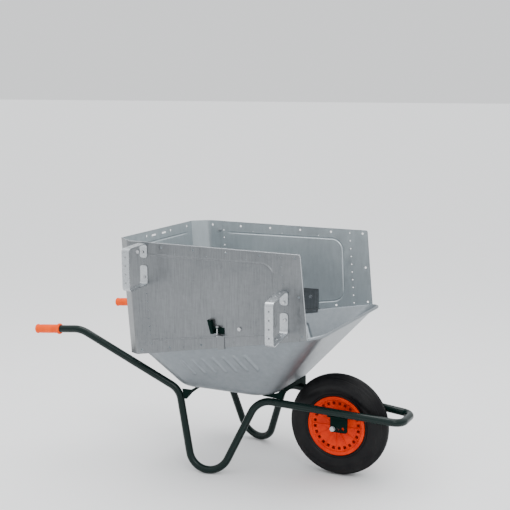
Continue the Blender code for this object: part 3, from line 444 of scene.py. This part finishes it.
def build_grips():
    profile = [
        (0.0, 0.0), (0.0145, 0.0), (0.0172, 0.0008), (0.0186, 0.0024), (0.0189, 0.0045), (0.0184, 0.0068),
        (0.0174, 0.0090), (0.0172, 0.0110),
    ]
    for index in range(11):
        start = 0.018 + index * 0.0075
        profile += [(0.0172, start), (0.0176, start + 0.0012)]
        profile += [(0.0176, start + 0.0042), (0.0172, start + 0.0054)]
    profile += [
        (0.0172, 0.1030), (0.0180, 0.1048), (0.0205, 0.1066), (0.0217, 0.1084), (0.0220, 0.1105),
        (0.0219, 0.1130), (0.0210, 0.1150), (0.0190, 0.1166), (0.0175, 0.1178), (0.0156, 0.1180),
        (0.0150, 0.1150), (0.0, 0.1150),
    ]
    for label, side in (("left", 1), ("right", -1)):
        bm, _ = lathe(profile, 56, closed=False)
        start, bend = mirrored([GRIP_END, HANDLE_BEND], side)
        turn = (bend - start).to_track_quat("Y", "Z").to_matrix().to_4x4()
        bmesh.ops.transform(bm, matrix=turn, verts=bm.verts)
        piece(f"{label}_handle_grip", bm, "grip", stands_for=(f"{label}_grip",), angle=50, at=ORIGIN + start)


# ---------------------------------------------------------------- wheel


SHOULDER_RIB = 0.0007  # depth of the fine grooves round the tyre's shoulders


def build_tyre():
    """Carcass with a ribbed tread, shoulder lines and a rim-protector bead."""
    half = [(0.1035, 0.0215), (0.107, 0.0262), (0.111, 0.0292), (0.1155, 0.0312), (0.1185, 0.0345)]
    half += [(0.1205, 0.0372), (0.1225, 0.0385), (0.1245, 0.0383), (0.1262, 0.0378)]
    for step in range(61):
        swing = math.radians(-52 + 1.8 * step)
        ribbed = step > 36
        sink = SHOULDER_RIB if ribbed and step % 4 in (1, 2) else 0.0
        across, out = 0.0302 - sink, 0.0400 - sink
        half.append((0.157 + out * math.sin(swing), 0.0165 + across * math.cos(swing)))
    grooves = (0.0285, 0.0225, 0.0165, 0.0095, 0.0030)
    half = [point for point in half if point[0] < 0.1865]

    def crown(y):
        return 0.200 - 0.0152 * (y / 0.034) ** 2.2

    depth, width = 0.0024, 0.0012
    half.append((crown(0.0335), 0.0335))
    for y in grooves:
        half += [(crown(y), y + width + 0.0006), (crown(y) - depth, y + width * 0.5)]
        half += [(crown(y) - depth, y - width * 0.5), (crown(y), y - width - 0.0006)]
    profile = half + [(radius, -y) for radius, y in reversed(half)]
    inside = [(0.103, -0.016), (0.122, -0.0305), (0.150, -0.040), (0.178, -0.034), (0.190, -0.015)]
    profile += inside + [(radius, -y) for radius, y in reversed(inside)]
    bm, _ = lathe(profile, 160)
    piece("tyre_carcass", bm, "tyre", WHEEL, ("tyre",), angle=38, at=AXLE)


def build_rim():
    """Two moulded discs with a ring of windows and ribs, on one barrel."""
    profile = [
        (0.0134, 0.0150), (0.0134, 0.0364), (0.0142, 0.0370), (0.0226, 0.0370), (0.0238, 0.0364),
        (0.0252, 0.0318), (0.0268, 0.0304), (0.0300, 0.0300), (0.0500, 0.0300), (0.0700, 0.0300),
        (0.0820, 0.0300), (0.0840, 0.0300), (0.0960, 0.0300), (0.0990, 0.0300), (0.1004, 0.0306),
        (0.1034, 0.0356), (0.1046, 0.0366), (0.1060, 0.0370), (0.1145, 0.0370), (0.1160, 0.0366),
        (0.1168, 0.0356), (0.1168, 0.0336), (0.1158, 0.0324), (0.1100, 0.0300), (0.1060, 0.0262),
        (0.1022, 0.0225), (0.1015, 0.0200), (0.1012, 0.0),
    ]
    count, per_pitch = 24, 8
    bm = bmesh.new()
    for side in (1, -1):
        _, rings = lathe([(radius, y * side) for radius, y in profile], count * per_pitch, closed=False, bm=bm)
        window = profile.index((0.0840, 0.0300))
        low, high = rings[window], rings[window + 1]
        doomed = []
        open_steps = (6, 7, 0, 1) if side > 0 else (2, 3, 4, 5)
        for step in range(count * per_pitch):
            if step % per_pitch in open_steps:
                after = (step + 1) % len(low)
                corners = {low[step], low[after], high[after], high[step]}
                doomed += [face for face in low[step].link_faces if set(face.verts) == corners]
        bmesh.ops.delete(bm, geom=doomed, context="FACES_ONLY")
    piece("rim_discs", bm, "rim", WHEEL, ("rim",), thickness=0.0030, offset=-1, angle=34, at=AXLE)
    ribs, _ = lathe([(0.0250, -0.0020), (0.1008, -0.0020), (0.1008, 0.0020), (0.0250, 0.0020)], 96)
    for side in (1, -1):
        for index in range(12):
            phase = 0.25 if side > 0 else 0.0
            turn = Matrix.Rotation(2 * math.pi * (index + phase) / 12, 4, "Y")
            outline = [(0.0262, 0.0285), (0.0262, 0.0345), (0.040, 0.0332), (0.080, 0.0328), (0.0985, 0.0345),
                       (0.1020, 0.0350), (0.1020, 0.0285)]
            faces = []
            for half_width in (0.0011, -0.0011):
                faces.append([ribs.verts.new(turn @ Vector((r, y * side, half_width))) for r, y in outline])
            bridge(ribs, faces[0], faces[1])
            ribs.faces.new(faces[0])
            ribs.faces.new(faces[1][::-1])
    piece("rim_ribs", ribs, "rim", WHEEL, bevel=0.0004, at=AXLE)


# ---------------------------------------------------------------- tray


def rim_z(x):
    return RIM_Z_AT_AXLE + RIM_SLOPE * x


def panel_bottom(x):
    return rim_z(x) - PANEL_OVERLAP


def panel_top(_):
    """Height of the panels' top edge round the rear fold, where it is level."""
    return PANEL_TOP_REAR[1]


def panel_y(x, z):
    up = z - panel_bottom(PANEL_BOTTOM_REAR_X)
    return PANEL_Y + PANEL_SPREAD_X * (x - PANEL_BOTTOM_REAR_X) + PANEL_SPREAD_Z * up


def rim_half_width(x):
    return panel_y(x, rim_z(x)) - 1.5 * SHEET - 2 * GAP - BEAD_RADIUS


RIB_COUNT, RIB_PITCH, RIB_START_X = 7, 0.046, -0.540
RIB_TOP, RIB_BOTTOM, RIB_SLANT = 0.050, 0.112, 0.55
RIB_HALF_WIDTH, RIB_HEIGHT = 0.0080, 0.0045


def rounded_outline(rear_x, front_x, rear_half, front_half, rear_corner, front_corner, runs, arc):
    """Plan outline with its outward normals, the straight runs cut into short steps."""
    corners = [
        (rear_x + rear_corner, -(rear_half - rear_corner), rear_corner, math.pi),
        (front_x - front_corner, -(front_half - front_corner), front_corner, 1.5 * math.pi),
        (front_x - front_corner, front_half - front_corner, front_corner, 0),
        (rear_x + rear_corner, rear_half - rear_corner, rear_corner, 0.5 * math.pi),
    ]
    arcs = []
    for x, y, radius, start in corners:
        angles = [start + 0.5 * math.pi * step / arc for step in range(arc + 1)]
        normals = [Vector((math.cos(a), math.sin(a))) for a in angles]
        arcs.append([(Vector((x, y)) + normal * radius, normal) for normal in normals])
    outline = []
    for index, points in enumerate(arcs):
        outline += points
        (start, normal), (end, _) = points[-1], arcs[(index + 1) % 4][0]
        outline += [(start.lerp(end, step / runs[index]), normal) for step in range(1, runs[index])]
    return outline


def pressed(point, normal):
    """Height of the row of slanting pressed ribs on each side wall of the tray."""
    if abs(normal.y) < 0.98:
        return 0.0
    below = rim_z(point.x) - point.z
    beyond = max(RIB_TOP - below, below - RIB_BOTTOM, 0.0)
    height = 0.0
    for index in range(RIB_COUNT):
        line = RIB_START_X + RIB_PITCH * index + RIB_SLANT * (below - RIB_TOP)
        reach = math.hypot(beyond, point.x - line) / RIB_HALF_WIDTH
        if reach < 1:
            height = max(height, RIB_HEIGHT * 0.5 * (1 + math.cos(math.pi * reach)))
    return height


def build_tray():
    runs, arc = (190, 30, 190, 30), 14
    rim = rounded_outline(
        RIM_REAR_X, RIM_FRONT_X,
        rim_half_width(RIM_REAR_X + RIM_REAR_CORNER), rim_half_width(RIM_FRONT_X - RIM_FRONT_CORNER),
        RIM_REAR_CORNER, RIM_FRONT_CORNER, runs, arc,
    )
    foot = rounded_outline(
        FLOOR_REAR_X, FLOOR_FRONT_X, FLOOR_HALF_WIDTH, FLOOR_HALF_WIDTH,
        FLOOR_REAR_CORNER, FLOOR_FRONT_CORNER, runs, arc,
    )
    inset = rounded_outline(
        FLOOR_REAR_X + FLOOR_FILLET, FLOOR_FRONT_X - FLOOR_FILLET, FLOOR_HALF_WIDTH - FLOOR_FILLET,
        FLOOR_HALF_WIDTH - FLOOR_FILLET,
        FLOOR_REAR_CORNER - FLOOR_FILLET / 2, FLOOR_FRONT_CORNER - FLOOR_FILLET / 2, runs, arc,
    )
    columns = []
    for (centre, normal), (corner, _), (start, _) in zip(rim, foot, inset):
        def bead(turn):
            swing = math.radians(turn)
            out = centre - normal * math.cos(swing) * BEAD_RADIUS
            return Vector((out.x, out.y, rim_z(centre.x) + math.sin(swing) * BEAD_RADIUS))

        wall_top = bead(30)
        bend = Vector((corner.x, corner.y, FLOOR_Z))
        on_floor = Vector((start.x, start.y, FLOOR_Z))
        on_wall = bend + (wall_top - bend).normalized() * FLOOR_FILLET
        column = [on_floor]
        for step in range(1, 11):
            share = step / 10
            column.append(on_floor.lerp(bend, share).lerp(bend.lerp(on_wall, share), share))
        rise = wall_top - on_wall
        outward = Vector((normal.x * rise.z, normal.y * rise.z, -math.hypot(rise.x, rise.y))).normalized()
        for step in range(1, 61):
            point = on_wall.lerp(wall_top, step / 60)
            column.append(point + outward * pressed(point, normal))
        column += [bead(turn) for turn in range(45, 256, 15)]
        columns.append(column)
    bm = bmesh.new()
    loops = [[bm.verts.new(point) for point in ring] for ring in zip(*columns)]
    for low, high in zip(loops, loops[1:]):
        bridge(bm, low, high)
    bm.faces.new(loops[0])
    piece("tray_pan", bm, "tray", stands_for=("tray",), thickness=SHEET, angle=60)


# ---------------------------------------------------------------- extension panels


def large_holes():
    upper = [(-0.0416 - HOLE_PITCH * index, 0.899) for index in range(5)] + [(-0.7285, 0.899)]
    lower = [-0.013 - HOLE_PITCH * index for index in range(5)] + [-0.690]
    return upper + [(x, panel_bottom(x) + 0.0165) for x in lower] + [(-0.0255, 0.760)]


def small_hole_columns():
    front = [(-0.097 + 0.0027 * index, 0.898 - SMALL_PITCH * index) for index in range(10)]
    rear = [(-0.675 + 0.0024 * index, 0.878 - SMALL_PITCH * index) for index in range(12)]
    return front, rear


def rounded_line(corners, radius, steps=10):
    """A 2-D path with its inner corners rounded."""
    flat = [Vector((x, z, 0)) for x, z in corners]
    path = bend_path(flat, [radius] * (len(flat) - 2), [steps] * (len(flat) - 2))
    return [Vector((point.x, point.y)) for point in path]


def bead_strip(bm, path, lift, place):
    """A raised rib along a 2-D path, and the outline that the flat sheet leaves for it.

    place turns (x, z, height) into a point; lift is the rib's height.
    """
    count = len(path)
    offsets = ((-0.0060, 0), (-0.0046, 0), (-0.0030, 0.42), (-0.0012, 0.93), (0.0012, 0.93),
               (0.0030, 0.42), (0.0046, 0), (0.0060, 0))
    rows = []
    lengths = [0.0]
    for start, end in zip(path, path[1:]):
        lengths.append(lengths[-1] + (end - start).length)
    for index, point in enumerate(path):
        ahead = path[min(index + 1, count - 1)] - path[max(index - 1, 0)]
        normal = Vector((-ahead.y, ahead.x)).normalized()
        near_end = min(lengths[index], lengths[-1] - lengths[index])
        fade = min(1.0, near_end / 0.012)
        rows.append([
            place(point.x + normal.x * offset, point.y + normal.y * offset, lift * share * fade)
            for offset, share in offsets
        ])
    verts = [[bm.verts.new(point) for point in row] for row in rows]
    for first, second in zip(verts, verts[1:]):
        bridge(bm, first, second, closed=False)
    far_side = [row[-1] for row in reversed(rows)]
    return [row[0] for row in rows] + rows[-1][1:-1] + far_side + rows[0][-2:0:-1]


def panel_bead_path():
    """Raised line of a side panel: along the top, down the front and back along the bottom."""
    corners = [(-0.646, 0.869), (-0.128, 0.871), (-0.1165, panel_bottom(-0.1165) + 0.034),
               (-0.640, panel_bottom(-0.640) + 0.052)]
    path = rounded_line(corners, 0.050, 14)
    result = [path[0]]
    for start, end in zip(path, path[1:]):
        parts = max(1, math.ceil((end - start).length / 0.02))
        result += [start.lerp(end, (step + 1) / parts) for step in range(parts)]
    return result


def fold_rows(side, inward, fold_x, level):
    """Points round the rear fold, which is at fold_x, and along the chamfer, at height level(x)."""
    fold = Vector((fold_x, panel_y(fold_x, level(fold_x)) - SHEET / 2))
    before_x = fold_x + FOLD_SETBACK
    before = Vector((before_x, panel_y(before_x, level(before_x)) - SHEET / 2))
    after = fold + CHAMFER.normalized() * FOLD_SETBACK
    rear = fold + CHAMFER
    slant = Vector((-CHAMFER.y, CHAMFER.x)).normalized()
    slant = slant if slant.y < 0 else -slant
    flat = Vector((0, -inward))
    start, end = before + flat, after + slant * inward
    pivot = fold + (flat + slant * inward) / (1 + abs(slant.y)) if inward else fold
    plan = [start + (start - pivot).normalized() * 0.002]
    for step in range(FOLD_STEPS + 1):
        share = step / FOLD_STEPS
        plan.append(start.lerp(pivot, share).lerp(pivot.lerp(end, share), share))
    plan.append(end.lerp(rear + slant * inward, 0.05))
    plan.append(rear + slant * inward)
    return [Vector((point.x, point.y * side, level(point.x))) for point in plan]


def build_side_panels():
    for label, side in (("left", 1), ("right", -1)):
        def place(x, z, out=0.0):
            return Vector((x, side * (panel_y(x, z) - SHEET / 2 + out), z))

        top = fold_rows(side, 0.0, PANEL_TOP_REAR[0], panel_top)
        bottom = fold_rows(side, 0.0, PANEL_BOTTOM_REAR_X, panel_bottom)
        across, along = Vector((1, side * PANEL_SPREAD_X, 0)), Vector((0, side * PANEL_SPREAD_Z, 1))
        bm = bmesh.new()
        strip = bead_strip(bm, panel_bead_path(), PANEL_BEAD_LIFT, place)
        small = [spot for column in small_hole_columns() for spot in column]
        holes = [ring_points(place(*spot), LARGE_HOLE, 22, across, along) for spot in large_holes()]
        holes += [ring_points(place(*spot), SMALL_HOLE, 14, across, along) for spot in small]
        for x in (-0.235, -0.400, -0.535):
            holes.append(ring_points(place(x, 0.880), RIVET_HOLE, 10, across, along))
        front_x, top_z = PANEL_TOP_FRONT
        corner = [(front_x - 0.006, top_z), (front_x - 0.0018, top_z - 0.0014), (front_x + 0.0002, top_z - 0.006)]
        front = [place(PANEL_BOTTOM_FRONT_X, panel_bottom(PANEL_BOTTOM_FRONT_X))]
        front += [place(x, z) for x, z in reversed(corner)]
        add_facet(bm, [bottom[0], *front, top[0]], [*holes, strip])
        for index in range(len(top) - 1):
            add_facet(bm, [bottom[index], bottom[index + 1], top[index + 1], top[index]])
        # The left panel takes the paler copy of the sheet, painted lighter for the light that falls on it; the
        # right panel takes the darker one
        look = "panel_painted_lighter" if side > 0 else "panel"
        piece(f"{label}_extension_panel", bm, look, stands_for=(f"{label}_side_panel",), thickness=SHEET,
              angle=24)
        hem = [top[-2], top[2], top[0]] + [place(x - 0.0004, z - 0.0016) for x, z in corner]
        hem.append(place(PANEL_BOTTOM_FRONT_X - 0.0016, panel_bottom(PANEL_BOTTOM_FRONT_X) + 0.001))
        hem = [point - Vector((0, 0, HEM_DROP)) for point in hem[:3]] + hem[3:]
        piece(f"{label}_panel_hem", sweep(hem, HEM_RADIUS, 10), "strip", angle=50)


def build_rear_panel():
    inward = SHEET + GAP
    bm = bmesh.new()
    ends = []
    for side in (1, -1):
        top = fold_rows(side, inward, PANEL_TOP_REAR[0], panel_top)
        bottom = fold_rows(side, inward, PANEL_BOTTOM_REAR_X, panel_bottom)
        bottom = [point + Z_AXIS * REAR_PANEL_RAISE for point in bottom[:-1]] + bottom[-1:]
        x = REAR_PANEL_FRONT_X
        low_y = panel_y(x, panel_bottom(x)) - SHEET / 2 - inward
        low = Vector((x, side * low_y, panel_bottom(x) + REAR_PANEL_RAISE))
        start = Vector((x, side * (panel_y(x, PANEL_TOP_REAR[1]) - SHEET / 2 - inward), PANEL_TOP_REAR[1]))
        across, along = Vector((1, side * PANEL_SPREAD_X, 0)), Vector((0, side * PANEL_SPREAD_Z, 1))
        holes = []
        corner_holes = (large_holes()[5], LARGE_HOLE), (large_holes()[11], LARGE_HOLE), (CORNER_BOLT, 0.0048)
        for (x, z), radius in corner_holes:
            centre = Vector((x, side * (panel_y(x, z) - SHEET / 2 - inward), z))
            holes.append(ring_points(centre, radius, 22, across, along))
        add_facet(bm, [bottom[0], low, start, top[0]], holes)
        for index in range(len(top) - 1):
            add_facet(bm, [bottom[index], bottom[index + 1], top[index + 1], top[index]])
        ends.append((top[-1], bottom[-1]))
    (top_left, low_left), (top_right, low_right) = ends
    up = top_left - low_left
    up.y = 0
    up.normalize()
    outward = Vector((-up.z, 0, up.x))

    def on_wall(y, below_top, out=0.0):
        return Vector((top_left.x, y, top_left.z)) - up * below_top + outward * out

    holes = []
    for y in (-0.232, -0.095, 0.095, 0.232):
        holes.append(ring_points(on_wall(y, 0.019), LARGE_HOLE, 22, Y_AXIS, up))
    for middle in (-0.040, 0.040):
        slot = []
        for end, start in ((1, -0.5 * math.pi), (-1, 0.5 * math.pi)):
            centre = on_wall(middle + end * 0.013, 0.0215)
            angles = [start + math.pi * step / 8 for step in range(9)]
            slot += [centre + (Y_AXIS * math.cos(a) + up * math.sin(a)) * 0.0035 for a in angles]
        holes.append(slot)
    line = [Vector((-0.235 + 0.47 * step / 30, 0.047)) for step in range(31)]
    holes.append(bead_strip(bm, line, PANEL_BEAD_LIFT, on_wall))
    add_facet(bm, [low_right, low_left, top_left, top_right], holes)
    lip = Vector((0.026, 0, 0))
    add_facet(bm, [low_right, low_left, low_left + lip, low_right + lip])
    # The rear panel takes the paler copy of the sheet, painted lighter for the light that falls on it
    piece("rear_extension_panel", bm, "panel_painted_lighter", stands_for=("rear_panel",), thickness=SHEET, angle=24)
    edge = [point - Z_AXIS * HEM_DROP for point in (top_right, top_left)]
    piece("rear_panel_hem", sweep(edge, HEM_RADIUS, 10), "strip", angle=50)


# ---------------------------------------------------------------- tool-holder hoops


def round_end(corners, radius):
    """Outline of a strip's end: the far pair of corners rounded, the near pair left square."""
    near_left, near_right, far_right, far_left = corners
    return bend_path([near_right, far_right, far_left, near_left], [radius] * 2, [8] * 2)


def build_hoops():
    """Perforated strips bent into closed hoops on the right-hand panel."""
    side, steps = -1, 8
    out = (SHEET + HOOP_SHEET) / 2 + GAP
    for name, (x, z, drop) in HOOPS.items():
        inner_low = z - HOOP_LOWER_ARM
        turns = [(0, z - HOOP_FLANGE), (0, z), (HOOP_REACH, z - drop), (HOOP_REACH, z - drop - HOOP_DROP),
                 (0, inner_low), (0, inner_low + HOOP_TAB)]
        path = bend_path([Vector((away, level, 0)) for away, level in turns], [HOOP_CORNER] * 4, [steps] * 4)

        def spot(point, edge):
            y = panel_y(x + edge, point.y) - SHEET / 2 + out + point.x
            return Vector((x + edge, side * y, point.y))

        bm = bmesh.new()
        edge = HOOP_WIDTH / 2
        for index, (start, stop) in enumerate(zip(path, path[1:])):
            corners = [spot(start, -edge), spot(start, edge), spot(stop, edge), spot(stop, -edge)]
            run = corners[3] - corners[0]
            middle = (corners[0] + corners[1]) / 2
            holes = []
            if index in (0, len(path) - 2):
                level = HOOP_BOLT_LEVELS[name][0 if index == 0 else 1]
                centre = middle + run * ((level - middle.z) / run.z)
                holes = [ring_points(centre, 0.0038, 18, X_AXIS, run.normalized())]
                corners = round_end(corners if index else corners[2:] + corners[:2], HOOP_END_CORNER)
            elif run.length > 0.06:
                count = round(run.length / SMALL_PITCH)
                spots = [middle + run * (step + 0.5) / count for step in range(count)]
                holes = [ring_points(centre, 0.0035, 18, X_AXIS, run.normalized()) for centre in spots]
            add_facet(bm, corners, holes)
        piece(f"{name}_strip", bm, "strip", stands_for=(name,), thickness=HOOP_SHEET, bevel=0.0005, angle=28)


# ---------------------------------------------------------------- studio


def add_area(name, location, target, size, power):
    light = bpy.data.lights.new(name, "AREA")
    light.shape = "RECTANGLE"
    light.size, light.size_y = size
    light.energy = power
    obj = bpy.data.objects.new(name, light)
    bpy.context.scene.collection.objects.link(obj)
    obj.location = ORIGIN + Vector(location)
    aim = ORIGIN + Vector(target) - obj.location
    obj.rotation_euler = aim.to_track_quat("-Z", "Y").to_euler()


FLOOR_SIZE = 60.0
LEVEL_STRENGTH, ABOVE_STRENGTH = 1.12, 1.9  # of the surroundings, at eye level and overhead


def build_floor():
    """Plain pale floor."""
    floor = Nodes("studio_floor", (0.90, 0.90, 0.90), 0.9)
    floor.to("Base Color", floor.mix(floor.noise(3.0), (0.89, 0.89, 0.89), (0.91, 0.91, 0.91)))
    bm = bmesh.new()
    bmesh.ops.create_grid(bm, x_segments=1, y_segments=1, size=FLOOR_SIZE)
    mesh = bpy.data.meshes.new("floor")
    bm.to_mesh(mesh)
    bm.free()
    mesh.materials.append(floor.material)
    plane = bpy.data.objects.new("floor", mesh)
    bpy.context.scene.collection.objects.link(plane)


def build_world():
    """Soft surroundings, the same in every level direction and brighter overhead."""
    world = bpy.data.worlds.new("studio")
    bpy.context.scene.world = world
    world.use_nodes = True
    tree = world.node_tree
    background = tree.nodes["Background"]
    background.inputs["Color"].default_value = (0.97, 0.985, 1.0, 1)
    split = tree.nodes.new("ShaderNodeSeparateXYZ")
    tree.links.new(tree.nodes.new("ShaderNodeTexCoord").outputs["Generated"], split.inputs["Vector"])
    rise = tree.nodes.new("ShaderNodeMapRange")
    rise.inputs["From Min"].default_value = 0.25
    rise.inputs["From Max"].default_value = 0.90
    rise.inputs["To Min"].default_value = LEVEL_STRENGTH
    rise.inputs["To Max"].default_value = ABOVE_STRENGTH
    tree.links.new(split.outputs["Z"], rise.inputs["Value"])
    tree.links.new(rise.outputs["Result"], background.inputs["Strength"])


def build_studio():
    build_floor()
    build_world()
    add_area("key", (1.8, -3.0, 3.4), (-0.4, 0, 0.5), (1.4, 1.4), 34)
    add_area("top", (-0.6, 0.2, 3.2), (-0.5, 0, 0.4), (2.4, 1.6), 60)


CAMERA_POSITION = Vector((1.4862, -3.7809, 1.5273))
CAMERA_AZIMUTH, CAMERA_PITCH, CAMERA_ROLL = math.radians(26.075), math.radians(9.293), math.radians(-0.125)
CAMERA_LENS = 76.44


def build_camera():
    azimuth, pitch, roll = CAMERA_AZIMUTH, CAMERA_PITCH, CAMERA_ROLL
    right = Vector((math.cos(azimuth), math.sin(azimuth), 0))
    forward = Vector((-math.sin(azimuth) * math.cos(pitch), math.cos(azimuth) * math.cos(pitch), -math.sin(pitch)))
    up = right.cross(forward)
    level_right = right * math.cos(roll) + up * math.sin(roll)
    level_up = up * math.cos(roll) - right * math.sin(roll)
    data = bpy.data.cameras.new("camera")
    data.lens = CAMERA_LENS
    data.sensor_width = 36
    camera = bpy.data.objects.new("camera", data)
    bpy.context.scene.collection.objects.link(camera)
    turn = Matrix((level_right, level_up, -forward)).transposed()
    camera.matrix_world = Matrix.Translation(ORIGIN + CAMERA_POSITION) @ turn.to_4x4()
    bpy.context.scene.camera = camera


def main():
    build_frame()
    build_grips()
    build_tyre()
    build_rim()
    build_tray()
    build_side_panels()
    build_rear_panel()
    build_hoops()
    plates = ["front_cross_member", "rear_cross_member", "left_axle_bracket", "right_axle_bracket"]
    keep(plates, "plate_paint", 0.0006)
    keep(["left_clamp_bracket", "right_clamp_bracket"], "plate_paint")
    keep(["left_clamp_strap", "right_clamp_strap", "left_rim_hook", "right_rim_hook"], "panel")
    fasteners = ("_bolt", "_nut", "_screw", "_washer", "_spacer")
    keep([name for name in frame["nodes"] if name.endswith(fasteners)], "zinc_plate")
    keep(["left_wheel_bush", "right_wheel_bush", "valve_cap", "valve_stem"], "black")
    keep(["inner_tube"], "tyre")
    build_studio()
    build_camera()


main()
bpy.context.view_layer.update()
